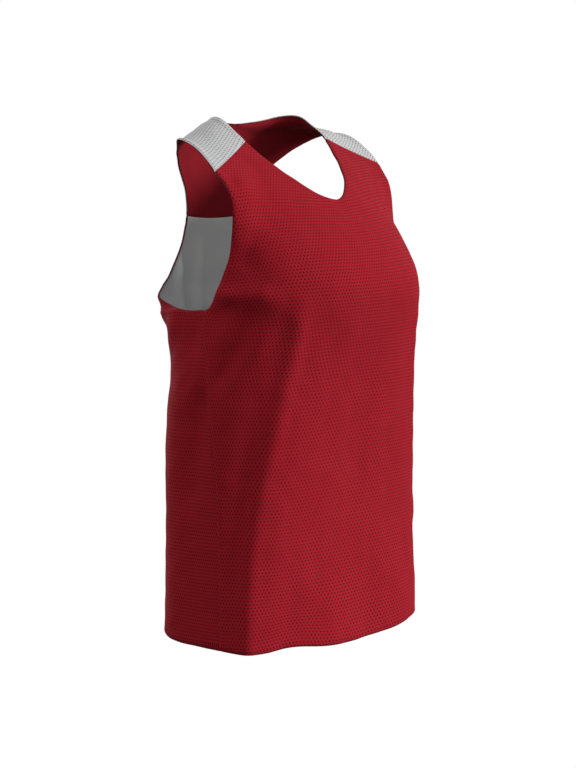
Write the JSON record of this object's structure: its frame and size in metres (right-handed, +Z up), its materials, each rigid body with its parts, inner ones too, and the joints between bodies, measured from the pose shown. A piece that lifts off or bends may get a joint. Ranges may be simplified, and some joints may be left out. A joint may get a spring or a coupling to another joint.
{
  "type": "reversible lacrosse pinnie",
  "caption": "Sleeveless two-ply reversible sports pinnie in dotted mesh, worn form with no wearer: scoop neck, racer back, contrast yoke over the shoulders and a straight open hem.",
  "frame": {"origin": "the middle of the shoulder line, half way between the two straps and half way along each, just under their inner face, where the wearer carries the garment", "axes": "+Z up the body, -Y the way the front faces, +X towards the wearer's left arm"},
  "size_m": [0.3639, 0.2492, 0.6284],
  "materials": {
    "red_mesh": "matte dot mesh knit",
    "white_mesh": "matte dot mesh knit",
    "white_inner": "matte smooth knit",
    "red_inner": "matte smooth knit"
  },
  "bodies": {
    "root": {"front": "red_mesh", "back": "red_mesh", "yoke": "white_mesh", "lining_front": "white_inner", "lining_back": "white_inner", "lining_yoke": "red_inner"}
  },
  "joints": []
}
